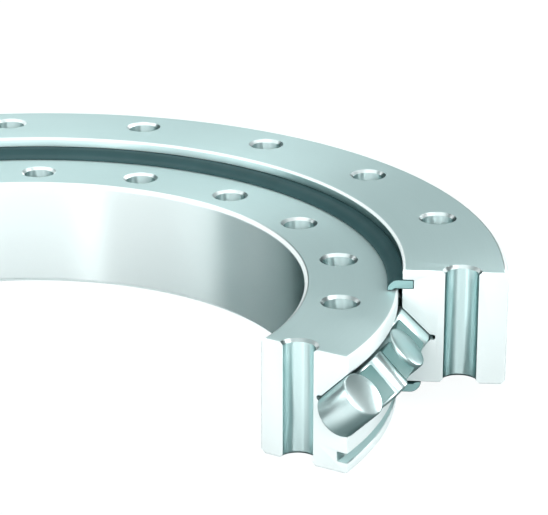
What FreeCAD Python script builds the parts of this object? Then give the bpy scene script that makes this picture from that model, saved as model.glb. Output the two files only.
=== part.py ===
import FreeCAD, Part
import math
import os

# Crossed roller bearing, kept as a sectioned display piece. Millimetres and degrees.
# The bearing axis is Z, and the inner ring's bottom face lies on z = 0.
# Angles run anticlockwise from X, seen from above. The outer ring's opening is centred on -Y.

# Rings
outer_diameter = 200.0
outer_wall = 21.0  # from the pitch circle to the rim
inner_wall = 19.0  # from the pitch circle to the bore
ring_height = 23.5
ring_step = 4.5  # how much higher the outer ring sits than the inner ring
ring_gap = 0.8  # between the rings, across the pitch circle
edge_chamfer = 0.8  # on the outer ring's rim and the inner ring's bore

# Rollers, crossed one by one at 45 degrees, and the spacers between them
rollers_per_turn = 42
roller_diameter = 9.0
roller_end_play = 0.2  # how much shorter than its diameter a roller is
raceway_clearance = 0.12
relief_width = 1.0  # undercut where the two flanks of a raceway meet
relief_depth = 0.5
spacer_width = 6.0  # along the pitch circle
spacer_clearance = 0.2  # to the rollers
spacer_flank_clearance = 1.1  # to the raceways

# Fixing holes
bolts_per_turn = 18
bolt_hole_diameter = 6.6
bolt_hole_chamfer = 0.6
outer_bolt_wall = 1.7  # between the bottom of the raceway and the holes
inner_bolt_wall = 0.7

# Seals and their grooves
seal_land = 2.1  # from the ring's face to the groove
seal_groove_height = 1.9
seal_groove_depth = 2.2
seal_fit = 0.05
upper_lip_reach = 3.0  # how far a lip reaches over the other ring, from its groove's mouth
lower_lip_reach = 4.8
lip_thickness = 1.1
lip_bend = 0.6  # how much of the seal's height the curl takes
lip_clearance = 0.12

# Plug in the outer ring's loading hole, and the pin that locks it
loading_angle = 140.0
loading_clearance = 1.0  # how much wider than a roller the hole is
plug_fit = 0.04
lock_pin_diameter = 3.0
lock_pin_edge = 6.0  # from the rim to the pin's axis
lock_pin_reach = 0.4  # how far the pin reaches past the plug
lock_pin_recess = 0.4
lock_pin_chamfer = 0.3
lock_pin_fit = 0.02

# Where the rings are cut. The inner ring starts earlier and shows this many roller pitches.
shown_pitches = 3
start_angle = -50.0
end_angle = 230.0
angle_tolerance = 0.01

pitch_radius = outer_diameter / 2 - outer_wall
roller_length = roller_diameter - roller_end_play
roller_pitch = 360.0 / rollers_per_turn
bolt_pitch = 360.0 / bolts_per_turn
inner_start = start_angle - shown_pitches * roller_pitch
middle_height = (ring_height + ring_step) / 2
short_side = ring_height - middle_height  # from the roller plane to a ring's nearer face
long_side = middle_height
flank_distance = roller_diameter / 2 + raceway_clearance
apex = flank_distance * math.sqrt(2)
half_gap = ring_gap / 2
groove_floor = long_side - seal_land - seal_groove_height
groove_roof = long_side - seal_land
loading_hole_diameter = roller_diameter + loading_clearance

# Bolt circles are whole millimetres across.
raceway_bottom = apex + relief_depth
bolt_hole_radius = bolt_hole_diameter / 2
outer_bolt_circle = round(2 * (pitch_radius + raceway_bottom + outer_bolt_wall + bolt_hole_radius))
inner_bolt_circle = round(2 * (pitch_radius - raceway_bottom - inner_bolt_wall - bolt_hole_radius))

Z = FreeCAD.Vector(0, 0, 1)
AXIS_POINT = FreeCAD.Vector(0, 0, 0)


# A point of a section: u runs from the pitch circle into the ring, v from the roller plane
# to the ring's sealed side. The inner ring is the outer ring turned half round, so side is -1.
def section_point(side, u, v):
    return FreeCAD.Vector(pitch_radius + side * u, 0, middle_height + side * v)


def polyline(side, points):
    corners = [section_point(side, u, v) for u, v in points]
    return [Part.makeLine(a, b) for a, b in zip(corners, corners[1:])]


def turned(edges, start, end):
    face = Part.Face(Part.Wire(edges))
    face.rotate(AXIS_POINT, Z, start)
    return face.revolve(AXIS_POINT, Z, end - start)


def at_angle(shape, angle):
    copy = shape.copy()
    copy.rotate(AXIS_POINT, Z, angle)
    return copy


def ring_blank(side, wall, start, end):
    mouth = apex - half_gap
    relief = relief_width / 2
    points = [
        (half_gap, -short_side),
        (half_gap, -mouth),
        (apex - relief, -relief),
        (raceway_bottom, -relief),
        (raceway_bottom, relief),
        (apex - relief, relief),
        (half_gap, mouth),
        (half_gap, groove_floor),
        (half_gap + seal_groove_depth, groove_floor),
        (half_gap + seal_groove_depth, groove_roof),
        (half_gap, groove_roof),
        (half_gap, long_side),
        (wall - edge_chamfer, long_side),
        (wall, long_side - edge_chamfer),
        (wall, edge_chamfer - short_side),
        (wall - edge_chamfer, -short_side),
        (half_gap, -short_side),
    ]
    return turned(polyline(side, points), start, end)


def bolt_hole(radius, bottom):
    mouth = bolt_hole_radius + bolt_hole_chamfer
    foot = FreeCAD.Vector(radius, 0, bottom)
    shoulder = FreeCAD.Vector(radius, 0, bottom + ring_height - bolt_hole_chamfer)
    drill = Part.makeCylinder(bolt_hole_radius, ring_height, foot)
    low = Part.makeCone(mouth, bolt_hole_radius, bolt_hole_chamfer, foot)
    high = Part.makeCone(bolt_hole_radius, mouth, bolt_hole_chamfer, shoulder)
    return drill.multiFuse([low, high])


def bolt_holes(circle, bottom, start):
    count = int((end_angle - start + angle_tolerance) / bolt_pitch) + 1
    hole = bolt_hole(circle / 2, bottom)
    return [at_angle(hole, start + i * bolt_pitch) for i in range(count)]


def inner_ring():
    blank = ring_blank(-1, inner_wall, inner_start, end_angle)
    return blank.cut(bolt_holes(inner_bolt_circle, 0.0, inner_start))


def outer_blank():
    return ring_blank(1, outer_wall, start_angle, end_angle)


# A round bar along a radius of the roller plane, from inside the pitch circle to past the rim.
def loading_bar(diameter):
    start = FreeCAD.Vector(pitch_radius - half_gap, 0, middle_height)
    length = outer_wall + ring_gap + loading_hole_diameter
    bar = Part.makeCylinder(diameter / 2, length, start, FreeCAD.Vector(1, 0, 0))
    return at_angle(bar, loading_angle)


# An upright bar that starts under the plug and ends below the ring's top face by the recess.
def pin_bar(diameter, play, recess):
    bottom = middle_height - loading_hole_diameter / 2 - lock_pin_reach - play
    length = ring_step + ring_height - recess - bottom
    foot = FreeCAD.Vector(outer_diameter / 2 - lock_pin_edge, 0, bottom)
    bar = Part.makeCylinder(diameter / 2, length, foot)
    return at_angle(bar, loading_angle)


def pin_hole():
    return pin_bar(lock_pin_diameter + 2 * lock_pin_fit, lock_pin_fit, 0.0)


def outer_ring():
    cuts = bolt_holes(outer_bolt_circle, ring_step, start_angle)
    cuts += [loading_bar(loading_hole_diameter), pin_hole()]
    return outer_blank().cut(cuts)


# The plug is turned with the ring, so it has the ring's rim and raceway on its ends.
def filler_plug():
    plug = outer_blank().common(loading_bar(loading_hole_diameter - 2 * plug_fit))
    return plug.cut(pin_hole())


def lock_pin():
    pin = pin_bar(lock_pin_diameter, 0.0, lock_pin_recess)
    rims = [edge for edge in pin.Edges if isinstance(edge.Curve, Part.Circle)]
    return pin.makeChamfer(lock_pin_chamfer, rims)


# A seal sits in its groove, and its lip curls round onto the other ring's face.
def seal(side, reach):
    back = half_gap + seal_groove_depth - seal_fit
    floor = groove_floor + seal_fit
    roof = groove_roof - seal_fit
    tip = half_gap - reach
    touch = short_side + lip_clearance
    height = roof - touch
    section = [
        (back, floor),
        (back, roof),
        (tip + height * lip_bend, roof),
        (tip, roof - height * lip_bend),
        (tip, touch),
        (tip + lip_thickness, touch),
        (tip + lip_thickness + floor - touch, floor),
        (back, floor),
    ]
    return turned(polyline(side, section), start_angle, end_angle)


def upper_seal():
    return seal(1, upper_lip_reach)


def lower_seal():
    return seal(-1, lower_lip_reach)


# Even rollers lean outwards and up, odd ones outwards and down.
def roller_axis(number):
    lean = 1 if number % 2 == 0 else -1
    return FreeCAD.Vector(1, 0, lean).normalize()


def roller_bar(number, diameter, length):
    axis = roller_axis(number)
    centre = FreeCAD.Vector(pitch_radius, 0, middle_height)
    bar = Part.makeCylinder(diameter / 2, length, centre - axis * (length / 2), axis)
    return at_angle(bar, inner_start + number * roller_pitch)


def roller_count():
    half_angle = math.degrees(math.asin(roller_diameter / 2 / pitch_radius))
    return int((end_angle - half_angle - inner_start) / roller_pitch) + 1


# A square block between two rollers, hollowed on both sides to the rollers' form.
def spacer(number):
    side = 2 * (flank_distance - spacer_flank_clearance)
    half = side / 2
    block = Part.makeBox(side, spacer_width, side, FreeCAD.Vector(-half, -spacer_width / 2, -half))
    block.rotate(AXIS_POINT, FreeCAD.Vector(0, 1, 0), 45)
    block.translate(FreeCAD.Vector(pitch_radius, 0, middle_height))
    block = at_angle(block, inner_start + (number + 0.5) * roller_pitch)
    pocket = roller_diameter + 2 * spacer_clearance
    return block.cut([roller_bar(n, pocket, side + spacer_width) for n in (number, number + 1)])


def spacers():
    return Part.makeCompound([spacer(n) for n in range(roller_count() - 1)])


pieces = {
    "inner_ring": inner_ring(),
    "outer_ring": outer_ring(),
    "upper_seal": upper_seal(),
    "lower_seal": lower_seal(),
    "filler_plug": filler_plug(),
    "lock_pin": lock_pin(),
    "spacers": spacers(),
}
for number in range(roller_count()):
    pieces[f"roller_{number + 1:02d}"] = roller_bar(number, roller_diameter, roller_length)

os.makedirs("parts", exist_ok=True)
for name, shape in pieces.items():
    shape.exportStep(f"parts/{name}.step")
    print(name, len(shape.Solids), round(shape.Volume, 1), shape.isValid())
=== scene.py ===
import math
import bmesh
import bpy
from mathutils import Matrix, Vector


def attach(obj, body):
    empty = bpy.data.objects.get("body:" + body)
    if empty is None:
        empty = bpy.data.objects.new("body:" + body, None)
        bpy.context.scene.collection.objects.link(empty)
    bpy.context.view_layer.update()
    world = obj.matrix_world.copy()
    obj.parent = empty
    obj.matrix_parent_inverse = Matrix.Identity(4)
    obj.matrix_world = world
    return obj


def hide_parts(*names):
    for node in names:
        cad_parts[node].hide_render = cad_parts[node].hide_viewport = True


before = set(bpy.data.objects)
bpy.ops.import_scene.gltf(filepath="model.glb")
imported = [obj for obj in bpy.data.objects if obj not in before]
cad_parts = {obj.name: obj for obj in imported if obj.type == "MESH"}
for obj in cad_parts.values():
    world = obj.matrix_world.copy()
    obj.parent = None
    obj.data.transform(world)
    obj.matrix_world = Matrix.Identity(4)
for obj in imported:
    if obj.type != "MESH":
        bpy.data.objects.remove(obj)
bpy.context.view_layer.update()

mm = 0.001
zAxis = (0, 0, 1)
quarterTurn = math.pi / 2
nearZero = 1e-4
weldDistance = 0.002 * mm
endLimit = 0.9  # a cylinder's end has a normal with more Z than this
noiseMiddle = 0.5
black = (0, 0, 0, 1)
white = (1, 1, 1, 1)

# the bearing stands on the inner ring; angles in degrees, anticlockwise from X
bearing = {
    "pitchRadius": 79 * mm,
    "rollerPlane": 14 * mm,
    "ringGap": 0.8 * mm,
    "rollerDiameter": 9 * mm,
    "racewayClearance": 0.12 * mm,
    "rollersPerTurn": 42,
    "rollerCount": 36,
    "rollerLean": 45,
    "shownPitches": 3,  # the inner ring starts this many roller pitches before the outer ring
    "outerStart": -50,
    "end": 230,
}
rollerPitch = 360 / bearing["rollersPerTurn"]
innerStart = bearing["outerStart"] - bearing["shownPitches"] * rollerPitch
halfGap = bearing["ringGap"] / 2
flankDistance = bearing["rollerDiameter"] / 2 + bearing["racewayClearance"]
apex = flankDistance * math.sqrt(2)


def deselectAll():
    bpy.ops.object.select_all(action="DESELECT")


def pickOnly(*objects):
    deselectAll()
    for thing in objects:
        thing.select_set(True)
    bpy.context.view_layer.objects.active = objects[0]


def editMode(kind):
    bpy.ops.object.mode_set(mode="EDIT")
    bpy.ops.mesh.select_mode(type=kind)


def objectMode():
    bpy.ops.object.mode_set(mode="OBJECT")


def settle(*objects):
    pickOnly(*objects)
    bpy.ops.object.transform_apply(location=True, rotation=True, scale=True)


def remove(*objects):
    pickOnly(*objects)
    bpy.ops.object.delete()


def chooseFaces(piece, wanted):
    shape = bmesh.from_edit_mesh(piece.data)
    for face in shape.faces:
        face.select_set(wanted(face))
    shape.select_flush_mode()
    bmesh.update_edit_mesh(piece.data)


def chooseCorner(piece, place):
    shape = bmesh.from_edit_mesh(piece.data)
    nearest = min(shape.verts, key=lambda corner: (corner.co - place).length)
    for corner in shape.verts:
        corner.select_set(corner == nearest)
    shape.select_flush_mode()
    bmesh.update_edit_mesh(piece.data)


def assignSlot(piece, slot, wanted):
    pickOnly(piece)
    editMode("FACE")
    chooseFaces(piece, wanted)
    piece.active_material_index = slot
    bpy.ops.object.material_slot_assign()
    objectMode()


def applyModifier(piece, kind, settings):
    pickOnly(piece)
    modifier = piece.modifiers.new(kind.title(), kind)
    for name, value in settings.items():
        setattr(modifier, name, value)
    bpy.ops.object.modifier_apply(modifier=modifier.name)


def cutWith(piece, cutter):
    applyModifier(piece, "BOOLEAN", {"operation": "DIFFERENCE", "solver": "EXACT", "object": cutter})
    remove(cutter)


def tidyMesh(piece, smoothAngle):
    pickOnly(piece)
    editMode("VERT")
    bpy.ops.mesh.select_all(action="SELECT")
    bpy.ops.mesh.remove_doubles(threshold=weldDistance)
    bpy.ops.mesh.normals_make_consistent(inside=False)
    objectMode()
    bpy.ops.object.shade_smooth_by_angle(angle=math.radians(smoothAngle))


def copyOf(piece, matrix):
    pickOnly(piece)
    bpy.ops.object.duplicate(linked=False)
    copy = bpy.context.object
    copy.matrix_world = matrix
    return copy


def turnedTo(angle):
    return Matrix.Rotation(math.radians(angle), 4, "Z")


def joinAll(objects, name):
    settle(*objects)
    if len(objects) > 1:
        bpy.ops.object.join()
    joined = bpy.context.object
    joined.name = name
    joined.data.name = name
    return joined


# what the turned pieces share
turning = {
    "degreesPerStep": 2,
    "roundingSteps": 3,
    "cutEdge": 0.1 * mm,
    "cutEdgeSteps": 2,
    "mostSideCorners": 12,  # before a ring is drilled, only a cut plane has more corners
}
# finish slots; flat faces keep slot 0; the others hold paler and darker copies of the same steel:
# painted light on the cut faces (besides their ground finish), walls, lands and edges, and painted
# shade in the holes, on the outer ring's inner wall and on its rim
cutSlot, wallSlot, paintedLightLandSlot, paintedShadeHoleSlot = range(1, 5)


# a point of a section: u runs from the pitch circle into the ring, v from the roller plane
# to the ring's sealed side; side is 1 for the outer ring and -1 for the inner ring
def sectionPoint(side, u, v):
    return Vector((bearing["pitchRadius"] + side * u, 0, bearing["rollerPlane"] + side * v))


# corners are (u, v, rounding); the outline is drawn by extruding one point, then filled
def drawSection(name, side, corners):
    places = [sectionPoint(side, u, v) for u, v, _ in corners]
    deselectAll()
    bpy.ops.mesh.primitive_plane_add(size=mm, location=places[0])
    piece = bpy.context.object
    piece.name = name
    settle(piece)
    editMode("VERT")
    bpy.ops.mesh.select_all(action="SELECT")
    bpy.ops.mesh.merge(type="CENTER")
    for here, there in zip(places, places[1:]):
        bpy.ops.mesh.extrude_region_move(TRANSFORM_OT_translate={"value": there - here})
    bpy.ops.mesh.select_all(action="SELECT")
    bpy.ops.mesh.edge_face_add()
    for place, (_, _, rounding) in zip(places, corners):
        if rounding:
            chooseCorner(piece, place)
            bpy.ops.mesh.bevel(offset=rounding, segments=turning["roundingSteps"], affect="VERTICES")
    objectMode()
    return piece


def spinSection(piece, start, end):
    pickOnly(piece)
    editMode("FACE")
    bpy.ops.mesh.select_all(action="SELECT")
    bpy.ops.mesh.spin(
        steps=round((end - start) / turning["degreesPerStep"]),
        angle=math.radians(end - start),
        center=(0, 0, 0),
        axis=zAxis,
    )
    bpy.ops.mesh.select_all(action="SELECT")
    bpy.ops.mesh.normals_make_consistent(inside=False)
    objectMode()
    # the spin may run either way round, so the first section is put where it belongs
    angles = [math.atan2(corner.co.y, corner.co.x) for corner in piece.data.vertices]
    ahead = sum(1 for angle in angles if nearZero < angle < quarterTurn)
    behind = sum(1 for angle in angles if -quarterTurn < angle < -nearZero)
    piece.rotation_euler.z = math.radians(end if behind > ahead else start)
    settle(piece)


def isSectionFace(face):
    return len(face.verts) > turning["mostSideCorners"]


# the cut planes get fine broken edges and a finish of their own, a paler copy of the steel that is
# partly painted light
def dressCuts(piece):
    pickOnly(piece)
    editMode("FACE")
    chooseFaces(piece, isSectionFace)
    bpy.ops.mesh.region_to_loop()
    bpy.ops.mesh.bevel(offset=turning["cutEdge"], segments=turning["cutEdgeSteps"], affect="EDGES")
    objectMode()
    assignSlot(piece, cutSlot, isSectionFace)


# an output of a shader node, so that shader maths is written as expressions
class Wire:
    def __init__(self, finish, socket):
        self.finish = finish
        self.socket = socket

    def compute(self, operation, first, second):
        return self.finish.add("ShaderNodeMath", {"operation": operation}, {0: first, 1: second})

    def __add__(self, other):
        return self.compute("ADD", self, other)

    def __radd__(self, other):
        return self.compute("ADD", other, self)

    def __sub__(self, other):
        return self.compute("SUBTRACT", self, other)

    def __rsub__(self, other):
        return self.compute("SUBTRACT", other, self)

    def __mul__(self, other):
        return self.compute("MULTIPLY", self, other)

    def __rmul__(self, other):
        return self.compute("MULTIPLY", other, self)

    def __pow__(self, other):
        return self.compute("POWER", self, other)


# a material's or the world's nodes, with one method for each kind of node that is used often
class Finish:
    def __init__(self, name="", world=None):
        self.material = world or bpy.data.materials.new(name)
        self.material.use_nodes = True
        self.tree = self.material.node_tree
        self.shader = self.tree.nodes["Background" if world else "Principled BSDF"]

    def add(self, kind, settings, sockets, output=0):
        node = self.tree.nodes.new(kind)
        for name, value in settings.items():
            setattr(node, name, value)
        for key, value in sockets.items():
            self.feed(node.inputs[key], value)
        return Wire(self, node.outputs[output])

    def feed(self, socket, value):
        if isinstance(value, Wire):
            self.tree.links.new(value.socket, socket)
        else:
            socket.default_value = value

    def place(self):
        return self.add("ShaderNodeTexCoord", {}, {}, "Object")

    def parts(self, vector):
        return [self.add("ShaderNodeSeparateXYZ", {}, {0: vector}, n) for n in range(3)]

    def vector(self, x, y, z):
        return self.add("ShaderNodeCombineXYZ", {}, {0: x, 1: y, 2: z})

    # a grade is the noise's detail and roughness
    def noise(self, vector, scale, grade):
        detail, roughness = grade
        return self.add(
            "ShaderNodeTexNoise",
            {"noise_dimensions": "3D"},
            {"Vector": vector, "Scale": scale, "Detail": detail, "Roughness": roughness},
        )

    # a Mix node's colours are its sockets 6 and 7, and its output 2
    def mixColour(self, factor, first, second):
        return self.add("ShaderNodeMix", {"data_type": "RGBA"}, {0: factor, 6: first, 7: second}, 2)

    def bump(self, height, strength, distance):
        return self.add(
            "ShaderNodeBump", {}, {"Height": height, "Strength": strength, "Distance": distance}
        )

    def set(self, sockets):
        for name, value in sockets.items():
            self.feed(self.shader.inputs[name], value)
        return self.material


# steel turned on a lathe: the marks run round the bearing on faces and on walls
flatSteelLook = {
    "dark": (0.45, 0.63, 0.63, 1),
    "light": (0.62, 0.80, 0.80, 1),
    "metallic": 0.45,
    "roughness": 0.45,
    "roughnessSpread": 0.10,
    "edgeTint": (1, 1, 1, 1),
    "stretch": 0.9,
    "stretchTurn": 0.25,  # a quarter turn
    "marksPerMetre": 2600,
    "marksRound": 3,
    "marksGrade": (2, 0.6),
    "marksShare": 0.25,  # in the colour, and the clouds make up the rest
    "cloudScale": 9,
    "cloudGrade": (2, 0.5),
    "markDepth": 0.02 * mm,
    "markStrength": 0.10,
}
# a paler, fully metallic copy of the steel for the upright walls, painted light so that they read
# brighter than the faces
paintedLightWallSteelLook = dict(
    flatSteelLook,
    dark=(0.80, 0.88, 0.88, 1),
    light=(0.88, 0.94, 0.94, 1),
    metallic=1.0,
    roughness=0.42,
    # dark teal edge tint: painted shade where a wall is seen edge-on
    edgeTint=(0.0, 0.10, 0.10, 1),
    stretch=1.0,
)
# a pale, nearly matt copy of the steel, painted light: the inner ring's lands read brightly lit and the
# rounded edges read as white highlight lines
paintedLightLandSteelLook = dict(
    flatSteelLook,
    dark=(0.76, 0.86, 0.86, 1),
    light=(0.86, 0.93, 0.93, 1),
    metallic=0.1,
)
# a darker copy of the wall steel, painted shade: inside the bolt holes, on the outer ring's wall above
# the seal and on its rim
paintedShadeHoleSteelLook = dict(
    paintedLightWallSteelLook,
    dark=(0.52, 0.67, 0.67, 1),
    light=(0.60, 0.74, 0.74, 1),
    roughness=0.36,
)


def turnedSteel(name, look):
    finish = Finish(name)
    place = finish.place()
    x, y, z = finish.parts(place)
    radius = (x * x + y * y) ** 0.5
    around = finish.add("ShaderNodeMath", {"operation": "ARCTAN2"}, {0: y, 1: x})
    fine = look["marksPerMetre"]
    lathe = finish.vector(radius * fine, around * look["marksRound"], z * fine)
    marks = finish.noise(lathe, 1, look["marksGrade"])
    cloud = finish.noise(place, look["cloudScale"], look["cloudGrade"])
    mask = marks * look["marksShare"] + cloud * (1 - look["marksShare"])
    return finish.set({
        "Base Color": finish.mixColour(mask, look["dark"], look["light"]),
        "Metallic": look["metallic"],
        "Roughness": (marks - noiseMiddle) * look["roughnessSpread"] + look["roughness"],
        "Specular Tint": look["edgeTint"],
        "Anisotropic": look["stretch"],
        "Anisotropic Rotation": look["stretchTurn"],
        "Normal": finish.bump(marks, look["markStrength"], look["markDepth"]),
    })


# the sectioned faces are ground, with straight marks, on a paler and nearly matt copy of the steel:
# painted light, so that they read brightly lit
paintedLightCutSteelLook = {
    "dark": (0.66, 0.73, 0.73, 1),
    "light": (0.74, 0.80, 0.80, 1),
    "metallic": 0.05,
    "roughness": 0.45,
    "roughnessSpread": 0.10,
    "marksPerMetre": 2400,
    "marksAlong": 60,
    "marksSlant": 0.35,
    "marksGrade": (2, 0.6),
    "marksShare": 0.3,
    "cloudScale": 35,
    "cloudGrade": (2, 0.5),
    "markDepth": 0.02 * mm,
    "markStrength": 0.08,
}


def groundSteel(name, look):
    finish = Finish(name)
    place = finish.place()
    x, y, z = finish.parts(place)
    radius = (x * x + y * y) ** 0.5
    across = (z + radius * look["marksSlant"]) * look["marksPerMetre"]
    stone = finish.vector(radius * look["marksAlong"], 0.0, across)
    marks = finish.noise(stone, 1, look["marksGrade"])
    cloud = finish.noise(place, look["cloudScale"], look["cloudGrade"])
    mask = marks * look["marksShare"] + cloud * (1 - look["marksShare"])
    return finish.set({
        "Base Color": finish.mixColour(mask, look["dark"], look["light"]),
        "Metallic": look["metallic"],
        "Roughness": (marks - noiseMiddle) * look["roughnessSpread"] + look["roughness"],
        "Normal": finish.bump(marks, look["markStrength"], look["markDepth"]),
    })


# in the order of the slots
ringFinishes = [
    turnedSteel("ringFaceSteel", flatSteelLook),
    groundSteel("paintedLightCutSteel", paintedLightCutSteelLook),
    turnedSteel("paintedLightRingWallSteel", paintedLightWallSteelLook),
    turnedSteel("paintedLightRingLandSteel", paintedLightLandSteelLook),
    turnedSteel("paintedShadeBoltHoleSteel", paintedShadeHoleSteelLook),
]


ringSizes = {
    "height": 23.5 * mm,
    "outerWall": 21 * mm,
    "innerWall": 19 * mm,
    "shortSide": 9.5 * mm,  # from the roller plane to the face next to the other ring's step
    "longSide": 14 * mm,
    "edgeChamfer": 0.8 * mm,
    "chamferBlend": 0.25 * mm,
    "rimRounding": 0.5 * mm,
    "mouthRounding": 0.25 * mm,
    "reliefWidth": 1.0 * mm,
    "reliefDepth": 0.5 * mm,
    "reliefRounding": 0.45 * mm,
    "grooveFloor": 10 * mm,
    "grooveRoof": 11.9 * mm,
    "grooveDepth": 2.2 * mm,
    "grooveRounding": 0.2 * mm,
    "flatLimit": 0.98,  # a face whose normal rises or falls by more than this is flat
    "slopeLimit": 0.15,  # and one by less than this is upright
    "wallTolerance": 0.05 * mm,
    "smoothAngle": 28,
}
holeSizes = {
    "radius": 3.3 * mm,
    "chamfer": 0.6 * mm,
    "sides": 40,
    "pitch": 20,
    "angleTolerance": 0.01,
    "wallTolerance": 0.01 * mm,
    "outerCircle": 91 * mm,
    "innerCircle": 68 * mm,
    "outerFoot": 4.5 * mm,
    "innerFoot": 0.0,
}


def ringCorners(wall):
    s = ringSizes
    mouth = apex - halfGap
    relief = s["reliefWidth"] / 2
    bottom = apex + s["reliefDepth"]
    groove = halfGap + s["grooveDepth"]
    return [
        (halfGap, -s["shortSide"], s["rimRounding"]),
        (halfGap, -mouth, s["mouthRounding"]),
        (apex - relief, -relief, 0),
        (bottom, -relief, s["reliefRounding"]),
        (bottom, relief, s["reliefRounding"]),
        (apex - relief, relief, 0),
        (halfGap, mouth, s["mouthRounding"]),
        (halfGap, s["grooveFloor"], s["grooveRounding"]),
        (groove, s["grooveFloor"], s["grooveRounding"]),
        (groove, s["grooveRoof"], s["grooveRounding"]),
        (halfGap, s["grooveRoof"], s["grooveRounding"]),
        (halfGap, s["longSide"], s["rimRounding"]),
        (wall - s["edgeChamfer"], s["longSide"], s["chamferBlend"]),
        (wall, s["longSide"] - s["edgeChamfer"], s["chamferBlend"]),
        (wall, s["edgeChamfer"] - s["shortSide"], s["chamferBlend"]),
        (wall - s["edgeChamfer"], -s["shortSide"], s["chamferBlend"]),
    ]


# a drill with both countersinks, on the X axis
def boltDrill(circle, foot):
    s = holeSizes
    straight = ringSizes["height"] - 2 * s["chamfer"]
    middle = foot + ringSizes["height"] / 2
    flare = (s["radius"] + s["chamfer"]) / s["radius"]
    deselectAll()
    bpy.ops.mesh.primitive_cylinder_add(
        vertices=s["sides"], radius=s["radius"], depth=straight, location=(circle, 0, middle)
    )
    drill = bpy.context.object
    settle(drill)
    editMode("FACE")
    for up in (1, -1):
        step = (0, 0, up * s["chamfer"])
        mouth = (circle, 0, middle + up * ringSizes["height"] / 2)
        chooseFaces(drill, lambda face: face.normal.z * up > endLimit)
        bpy.ops.mesh.extrude_region_move(TRANSFORM_OT_translate={"value": step})
        bpy.ops.transform.resize(value=(flare, flare, 1), center_override=mouth)
        bpy.ops.mesh.extrude_region_move(TRANSFORM_OT_translate={"value": step})
    objectMode()
    return drill


def drillHoles(ring, circle, foot, start):
    drill = boltDrill(circle, foot)
    count = int((bearing["end"] - start + holeSizes["angleTolerance"]) / holeSizes["pitch"]) + 1
    drills = [copyOf(drill, turnedTo(start + n * holeSizes["pitch"])) for n in range(count)]
    remove(drill)
    cutWith(ring, joinAll(drills, "drills"))


def makeRing(name, side, wall, start):
    ring = drawSection(name, side, ringCorners(wall))
    for finish in ringFinishes:
        ring.data.materials.append(finish)
    spinSection(ring, start, bearing["end"])
    dressCuts(ring)
    return ring


innerRing = makeRing("innerRing", -1, ringSizes["innerWall"], innerStart)
drillHoles(innerRing, holeSizes["innerCircle"], holeSizes["innerFoot"], innerStart)
print("inner ring turned and drilled")

outerRing = makeRing("outerRing", 1, ringSizes["outerWall"], bearing["outerStart"])
drillHoles(outerRing, holeSizes["outerCircle"], holeSizes["outerFoot"], bearing["outerStart"])

# the hole that rollers go in through, and the hole of the pin that locks its plug
loading = {
    "angle": 140,
    "sides": 64,
    "radius": 5 * mm,
    "start": 78.6 * mm,
    "length": 30 * mm,
    "pinSides": 32,
    "pinRadius": 1.52 * mm,
    "pinCircle": 94 * mm,
    "pinBottom": 8.58 * mm,
    "pinTop": 30 * mm,
}


def loadingDrill():
    deselectAll()
    bpy.ops.mesh.primitive_cylinder_add(
        vertices=loading["sides"],
        radius=loading["radius"],
        depth=loading["length"],
        location=(loading["start"] + loading["length"] / 2, 0, bearing["rollerPlane"]),
        rotation=(0, quarterTurn, 0),
    )
    return bpy.context.object


def pinDrill():
    deselectAll()
    bpy.ops.mesh.primitive_cylinder_add(
        vertices=loading["pinSides"],
        radius=loading["pinRadius"],
        depth=loading["pinTop"] - loading["pinBottom"],
        location=(loading["pinCircle"], 0, (loading["pinTop"] + loading["pinBottom"]) / 2),
    )
    return bpy.context.object


for drill in (loadingDrill(), pinDrill()):
    settle(drill)
    drill.rotation_euler.z = math.radians(loading["angle"])
    settle(drill)
    cutWith(outerRing, drill)
print("outer ring turned and drilled")

boreRadius = bearing["pitchRadius"] - ringSizes["innerWall"]
landRadius = bearing["pitchRadius"] - halfGap
mouthRadius = bearing["pitchRadius"] + halfGap
rimRadius = bearing["pitchRadius"] + ringSizes["outerWall"]
faceLevels = [
    bearing["rollerPlane"] + up * ringSizes[side]
    for side in ("longSide", "shortSide")
    for up in (1, -1)
]


def distanceTo(value, places):
    return min(abs(value - place) for place in places)


# the inner ring's walls that face the other ring, and both rings' edges beside their flat faces; they
# take the pale copy of the steel, painted light on the walls and painted highlight lines on the edges
def isLand(face):
    s = ringSizes
    middle = face.calc_center_median()
    radius = Vector(middle.xy).length
    edges = (boreRadius, landRadius, mouthRadius, rimRadius)
    nearEdge = distanceTo(radius, edges) < s["edgeChamfer"]
    nearFace = distanceTo(middle.z, faceLevels) < s["edgeChamfer"]
    sloping = abs(face.normal.z) > s["slopeLimit"]
    isWall = abs(radius - landRadius) < s["wallTolerance"]
    return face.material_index == wallSlot and (isWall or (sloping and nearEdge and nearFace))


# the outer ring's walls that face the inner ring, and its rim; they take the darker hole steel as
# painted shade
def isMouthOrRim(face):
    radius = Vector(face.calc_center_median().xy).length
    nearWall = distanceTo(radius, (mouthRadius, rimRadius)) < ringSizes["wallTolerance"]
    return face.material_index == wallSlot and nearWall


# how far a face lies from the axis of the nearest bolt hole
def holeDistance(face, circle, start):
    place = Vector(face.calc_center_median().xy)
    angle = math.degrees(math.atan2(place.y, place.x)) - start
    nearest = math.radians(start + round(angle / holeSizes["pitch"]) * holeSizes["pitch"])
    return (place - circle * Vector((math.cos(nearest), math.sin(nearest)))).length


# the bore, the flanks and the grooves are left with the finish for walls
def finishRing(ring, circle, start):
    wallEnd = holeSizes["radius"] + holeSizes["wallTolerance"]

    def isWall(face):
        return face.material_index != cutSlot and abs(face.normal.z) < ringSizes["flatLimit"]

    def isHoleWall(face):
        return face.material_index == wallSlot and holeDistance(face, circle, start) < wallEnd

    assignSlot(ring, wallSlot, isWall)
    assignSlot(ring, paintedLightLandSlot, isLand)
    assignSlot(ring, paintedShadeHoleSlot, isHoleWall)
    assignSlot(ring, paintedShadeHoleSlot, isMouthOrRim)
    tidyMesh(ring, ringSizes["smoothAngle"])


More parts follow.
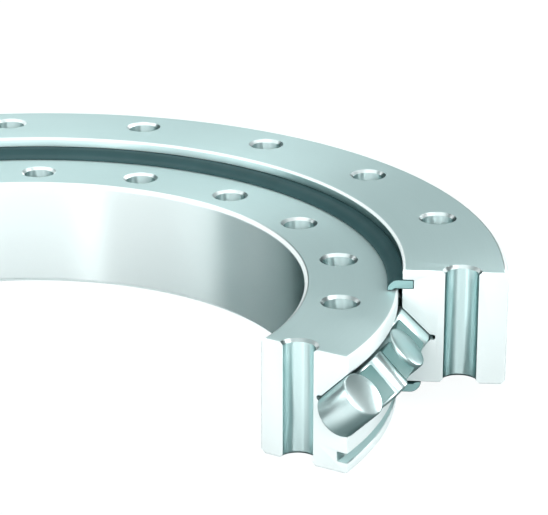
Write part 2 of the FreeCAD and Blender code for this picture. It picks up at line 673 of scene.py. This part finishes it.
finishRing(innerRing, holeSizes["innerCircle"], innerStart)
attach(innerRing, "inner_ring_body")
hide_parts("inner_ring")

finishRing(outerRing, holeSizes["outerCircle"], bearing["outerStart"])
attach(outerRing, "outer_ring_body")
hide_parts("outer_ring")


rollerSizes = {
    "length": 8.8 * mm,
    "sides": 64,
    "endChamfer": 0.35 * mm,
    "chamferSteps": 3,
    "crown": 0.3 * mm,  # how far an end stands proud of its rim
    "crownSteps": 5,
    "smoothAngle": 40,
}
rollerSteelLook = {
    "dark": (0.64, 0.78, 0.78, 1),
    "light": (0.74, 0.85, 0.85, 1),
    "metallic": 0.92,
    "roughness": 0.30,
    "roughnessSpread": 0.03,
    # a dark teal edge tint, painted shade where the roller is seen edge-on
    "edgeTint": (0.02, 0.12, 0.12, 1),
    "cloudScale": 300,
    "cloudGrade": (3, 0.5),
    "grainScale": 5200,
    "grainGrade": (2, 0.6),
    "grainDepth": 0.004 * mm,
    "grainStrength": 0.02,
}


def polishedSteel(name, look):
    finish = Finish(name)
    place = finish.place()
    grain = finish.noise(place, look["grainScale"], look["grainGrade"])
    cloud = finish.noise(place, look["cloudScale"], look["cloudGrade"])
    return finish.set({
        "Base Color": finish.mixColour(cloud, look["dark"], look["light"]),
        "Metallic": look["metallic"],
        "Roughness": (grain - noiseMiddle) * look["roughnessSpread"] + look["roughness"],
        "Specular Tint": look["edgeTint"],
        "Normal": finish.bump(grain, look["grainStrength"], look["grainDepth"]),
    })


polishedRollers = polishedSteel("rollerSteel", rollerSteelLook)


# one roller stands on Z at the origin, with both end edges broken and both ends crowned
def makeRoller():
    s = rollerSizes
    radius = bearing["rollerDiameter"] / 2
    deselectAll()
    bpy.ops.mesh.primitive_cylinder_add(
        vertices=s["sides"], radius=radius, depth=s["length"] - 2 * s["crown"]
    )
    roller = bpy.context.object
    editMode("FACE")
    chooseFaces(roller, lambda face: abs(face.normal.z) > endLimit)
    bpy.ops.mesh.region_to_loop()
    bpy.ops.mesh.bevel(offset=s["endChamfer"], segments=s["chamferSteps"], affect="EDGES")
    bpy.ops.mesh.select_mode(type="FACE")
    chooseFaces(roller, lambda face: len(face.verts) == s["sides"])
    step = (radius - s["endChamfer"]) / (s["crownSteps"] + 1)
    for ring in range(s["crownSteps"]):
        slope = (s["crownSteps"] - ring) / sum(range(s["crownSteps"] + 1))
        bpy.ops.mesh.inset(thickness=step, depth=s["crown"] * slope, use_individual=True)
    objectMode()
    roller.data.materials.append(polishedRollers)
    bpy.ops.object.shade_smooth_by_angle(angle=math.radians(s["smoothAngle"]))
    return roller


# takes a pattern from the origin to the pitch circle and leans it outwards
def onPitchCircle(angle, lean):
    centre = Matrix.Translation((bearing["pitchRadius"], 0, bearing["rollerPlane"]))
    return turnedTo(angle) @ centre @ Matrix.Rotation(math.radians(lean), 4, "Y")


# even rollers lean outwards, odd ones inwards
def rollerPlace(number):
    lean = bearing["rollerLean"] if number % 2 == 0 else -bearing["rollerLean"]
    return onPitchCircle(innerStart + number * rollerPitch, lean)


patternRoller = makeRoller()
for number in range(bearing["rollerCount"]):
    roller = copyOf(patternRoller, rollerPlace(number))
    roller.name = f"roller{number + 1:02d}"
    roller.data.name = roller.name
    settle(roller)
    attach(roller, f"roller_{number + 1:02d}_body")
    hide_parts(f"roller_{number + 1:02d}")
remove(patternRoller)
print("rollers placed")


spacerSizes = {
    "width": 6 * mm,
    "clearance": 0.2 * mm,
    "flankClearance": 1.1 * mm,
    "edgeRounding": 0.3 * mm,
    "edgeSteps": 4,
    "pocketSides": 96,
    "pocketReach": 2,  # length of a pocket's tool, in sides of the block
    "smoothAngle": 30,
}
spacerLook = {
    "dark": (0.09, 0.21, 0.205, 1),
    "light": (0.14, 0.28, 0.275, 1),
    "gloss": 0.5,
    "roughness": 0.4,
    "roughnessSpread": 0.12,
    "cloudScale": 160,
    "cloudGrade": (2, 0.5),
    "grainScale": 2600,
    "grainGrade": (2, 0.5),
    "grainDepth": 0.01 * mm,
    "grainStrength": 0.15,
}


def mouldedPlastic(name, look):
    finish = Finish(name)
    place = finish.place()
    grain = finish.noise(place, look["grainScale"], look["grainGrade"])
    cloud = finish.noise(place, look["cloudScale"], look["cloudGrade"])
    return finish.set({
        "Specular IOR Level": look["gloss"],
        "Base Color": finish.mixColour(cloud, look["dark"], look["light"]),
        "Roughness": (grain - noiseMiddle) * look["roughnessSpread"] + look["roughness"],
        "Normal": finish.bump(grain, look["grainStrength"], look["grainDepth"]),
    })


spacerPlastic = mouldedPlastic("spacerPlastic", spacerLook)


def pocketTool(number, length):
    deselectAll()
    bpy.ops.mesh.primitive_cylinder_add(
        vertices=spacerSizes["pocketSides"],
        radius=bearing["rollerDiameter"] / 2 + spacerSizes["clearance"],
        depth=length,
    )
    tool = bpy.context.object
    tool.matrix_world = rollerPlace(number)
    settle(tool)
    return tool


# a square block between two rollers, hollowed on both sides to the rollers' form
def makeSpacer(number):
    s = spacerSizes
    side = 2 * (flankDistance - s["flankClearance"])
    deselectAll()
    bpy.ops.mesh.primitive_cube_add(size=1, scale=(side, s["width"], side))
    block = bpy.context.object
    settle(block)
    editMode("EDGE")
    shape = bmesh.from_edit_mesh(block.data)
    for edge in shape.edges:
        ends = edge.verts[0].co - edge.verts[1].co
        edge.select_set(abs(ends.y) > abs(ends.x) + abs(ends.z))
    bmesh.update_edit_mesh(block.data)
    bpy.ops.mesh.bevel(offset=s["edgeRounding"], segments=s["edgeSteps"], affect="EDGES")
    objectMode()
    block.matrix_world = onPitchCircle(innerStart + (number + 0.5) * rollerPitch, bearing["rollerLean"])
    settle(block)
    for neighbour in (number, number + 1):
        cutWith(block, pocketTool(neighbour, s["pocketReach"] * side))
    return block


spacerPatterns = [makeSpacer(0), makeSpacer(1)]
spacerCopies = [
    copyOf(spacerPatterns[n % 2], turnedTo((n - n % 2) * rollerPitch))
    for n in range(bearing["rollerCount"] - 1)
]
remove(*spacerPatterns)
spacers = joinAll(spacerCopies, "spacerBlocks")
spacers.data.materials.append(spacerPlastic)
tidyMesh(spacers, spacerSizes["smoothAngle"])
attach(spacers, "roller_train")
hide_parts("spacers")
print("spacers placed")


sealSizes = {
    "fit": 0.05 * mm,
    "upperReach": 3.0 * mm,
    "lowerReach": 4.8 * mm,
    "lipThickness": 1.1 * mm,
    "lipBend": 0.6,
    "lipClearance": 0.12 * mm,
    "backRounding": 0.2 * mm,
    "curlRounding": 0.7 * mm,
    "lipRounding": 0.42 * mm,
    "smoothAngle": 30,
}
sealLook = {
    "dark": (0.015, 0.045, 0.048, 1),
    "light": (0.03, 0.075, 0.08, 1),
    "gloss": 0.2,
    "roughness": 0.5,
    "roughnessSpread": 0.12,
    "cloudScale": 120,
    "cloudGrade": (2, 0.5),
    "grainScale": 2200,
    "grainGrade": (2, 0.5),
    "grainDepth": 0.01 * mm,
    "grainStrength": 0.2,
}
# the seals' cut faces get a much lighter copy of the dark rubber, painted light so that they read lit
paintedLightSealCutLook = dict(sealLook, dark=(0.20, 0.35, 0.35, 1), light=(0.28, 0.45, 0.45, 1))
sealRubber = mouldedPlastic("sealRubber", sealLook)
paintedLightSealCut = mouldedPlastic("paintedLightSealCutRubber", paintedLightSealCutLook)


def sealCorners(reach):
    s = sealSizes
    r = ringSizes
    back = halfGap + r["grooveDepth"] - s["fit"]
    floor = r["grooveFloor"] + s["fit"]
    roof = r["grooveRoof"] - s["fit"]
    tip = halfGap - reach
    touch = r["shortSide"] + s["lipClearance"]
    bend = (roof - touch) * s["lipBend"]
    return [
        (back, floor, s["backRounding"]),
        (back, roof, s["backRounding"]),
        (tip + bend, roof, s["curlRounding"]),
        (tip, roof - bend, s["curlRounding"]),
        (tip, touch, s["lipRounding"]),
        (tip + s["lipThickness"], touch, s["lipRounding"]),
        (tip + s["lipThickness"] + floor - touch, floor, 0),
    ]


for name, side, reach, node, body in (
    ("upperSeal", 1, sealSizes["upperReach"], "upper_seal", "outer_ring_body"),
    ("lowerSeal", -1, sealSizes["lowerReach"], "lower_seal", "inner_ring_body"),
):
    seal = drawSection(name, side, sealCorners(reach))
    seal.data.materials.append(sealRubber)
    seal.data.materials.append(paintedLightSealCut)
    spinSection(seal, bearing["outerStart"], bearing["end"])
    dressCuts(seal)
    tidyMesh(seal, sealSizes["smoothAngle"])
    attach(seal, body)
    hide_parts(node)
print("seals placed")


# the plug and the pin keep their own shapes and get a finish; both keep the dark teal edge tint of the
# walls and the rollers, painted shade where they are seen edge-on
plugSteelLook = dict(paintedLightWallSteelLook, dark=(0.56, 0.71, 0.71, 1), light=(0.68, 0.81, 0.81, 1))
pinSteelLook = dict(rollerSteelLook, dark=(0.42, 0.55, 0.55, 1), light=(0.52, 0.65, 0.65, 1))
for node, material in (
    ("filler_plug", turnedSteel("plugSteel", plugSteelLook)),
    ("lock_pin", polishedSteel("pinSteel", pinSteelLook)),
):
    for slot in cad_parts[node].material_slots:
        slot.material = material


studio = {
    "floorSize": 8,
    "floorDrop": 0.02 * mm,
    # dark teal: the tone of the shadow to the camera, and painted shade where metal reflects the floor
    "floorColour": (0.10, 0.15, 0.15, 1),
    "floorRoughness": 0.9,
    "floorGloss": 0.0,
    "floorGlow": 0.92,
    "floorBounce": 0.65,
    "poolFront": (-0.139, -0.990, 0.0),
    "poolFrontEdges": (0.045, 0.060),  # in reflections the floor is white this far out in front
    "poolLeft": (-0.985, -0.174, 0.0),
    "poolLeftEdges": (0.0, 0.018),  # and this far out on the left
    "skyLight": 0.2,
    "skyFront": (-0.906, -0.423, 0.0),
    "skyEdges": (0.0, 0.6),
    "skyRise": (-0.05, 0.20),
    "roomDark": 0.05,
    "roomTint": (0.3, 1.0, 1.0, 1),
    "lamps": (
        {"name": "keyLeft", "place": (-0.868, 0.233, 0.438), "wide": 1.15, "high": 0.4, "watts": 5.6},
        {"name": "keyFront", "place": (-0.652, -0.618, 0.438), "wide": 1.2, "high": 0.4, "watts": 8.4},
        {"name": "front", "place": (-0.131, -0.932, 0.342), "wide": 0.5, "high": 0.3, "watts": 1.2},
        {"name": "fill", "place": (0.439, -0.628, 0.643), "wide": 0.4, "high": 0.4, "watts": 3.4},
        {"name": "right", "place": (0.988, -0.069, 0.139), "wide": 0.5, "high": 0.26, "watts": 4.5},
        {"name": "top", "place": (0.160, -0.030, 1.100), "wide": 0.9, "high": 0.9, "watts": 3.2},
        {"name": "back", "place": (0.123, 0.696, 0.707), "wide": 0.6, "high": 0.3, "watts": 1.6},
    ),
}


def rayIs(finish, kind):
    return finish.add("ShaderNodeLightPath", {}, {}, f"Is {kind} Ray")


# how far a place or a direction lies towards a side, from 0 to 1
def towards(finish, vector, side, edges):
    along = finish.add(
        "ShaderNodeVectorMath", {"operation": "DOT_PRODUCT"}, {0: vector, 1: side}, "Value"
    )
    return finish.add(
        "ShaderNodeMapRange",
        {"interpolation_type": "SMOOTHSTEP"},
        {"Value": along, "From Min": edges[0], "From Max": edges[1]},
    )


# to the camera the floor is white with a soft shadow; in reflections only a patch in front of and left
# of the object is white, a painted reflection, and elsewhere the floor's own dark teal shows as painted
# shade; to diffuse rays the floor glows as a painted fill light
def makeFloor():
    deselectAll()
    bpy.ops.mesh.primitive_plane_add(size=studio["floorSize"], location=(0, 0, -studio["floorDrop"]))
    floor = bpy.context.object
    floor.name = "floor"
    finish = Finish("paleFloor")
    seen = rayIs(finish, "Camera") + rayIs(finish, "Transmission")
    place = finish.place()
    inFront = towards(finish, place, studio["poolFront"], studio["poolFrontEdges"])
    onLeft = towards(finish, place, studio["poolLeft"], studio["poolLeftEdges"])
    paintedReflection = rayIs(finish, "Glossy") * inFront * onLeft
    bounced = rayIs(finish, "Diffuse") * studio["floorBounce"]
    finish.set({
        "Base Color": studio["floorColour"],
        "Roughness": studio["floorRoughness"],
        "Specular IOR Level": studio["floorGloss"],
        "Emission Color": finish.mixColour(seen + paintedReflection + bounced, black, white),
        "Emission Strength": studio["floorGlow"],
    })
    floor.data.materials.append(finish.material)


# a white room to the camera, white in front and dim behind to metal, and a soft light on all
def makeSky():
    world = bpy.data.worlds.new("studioSky")
    bpy.context.scene.world = world
    world.use_nodes = True
    finish = Finish(world=world)
    direction = finish.add("ShaderNodeTexCoord", {}, {}, "Generated")
    dark = studio["roomDark"]
    front = towards(finish, direction, studio["skyFront"], studio["skyEdges"])
    above = towards(finish, direction, zAxis, studio["skyRise"])
    room = front * above * (1 - dark) + dark
    seen = rayIs(finish, "Camera") + rayIs(finish, "Transmission")
    light = studio["skyLight"]
    glossy = rayIs(finish, "Glossy")
    finish.set({
        "Color": finish.mixColour(glossy * (1 - room), white, studio["roomTint"]),
        "Strength": seen * (1 - light) + glossy * (room - light) + light,
    })


def makeLamp(lamp):
    deselectAll()
    bpy.ops.object.light_add(type="AREA", location=lamp["place"])
    light = bpy.context.object
    light.name = lamp["name"]
    light.data.shape = "RECTANGLE"
    light.data.size = lamp["wide"]
    light.data.size_y = lamp["high"]
    light.data.energy = lamp["watts"]
    light.visible_camera = False
    aim = Vector((0, 0, bearing["rollerPlane"])) - Vector(lamp["place"])
    light.rotation_euler = aim.to_track_quat("-Z", "Y").to_euler()


makeFloor()
makeSky()
for lamp in studio["lamps"]:
    makeLamp(lamp)

view = {
    "place": (-0.26529, -0.34183, 0.18659),
    "turn": -44.983,
    "tilt": 69.725,
    "lens": 152.09,
    "sensor": 36,
    "nearest": 0.01,
}
deselectAll()
bpy.ops.object.camera_add(
    location=view["place"], rotation=(math.radians(view["tilt"]), 0, math.radians(view["turn"]))
)
camera = bpy.context.object
camera.data.sensor_width = view["sensor"]
camera.data.lens = view["lens"]
camera.data.clip_start = view["nearest"]
bpy.context.scene.camera = camera
bpy.context.scene.view_settings.view_transform = "Standard"
print("studio and camera ready")
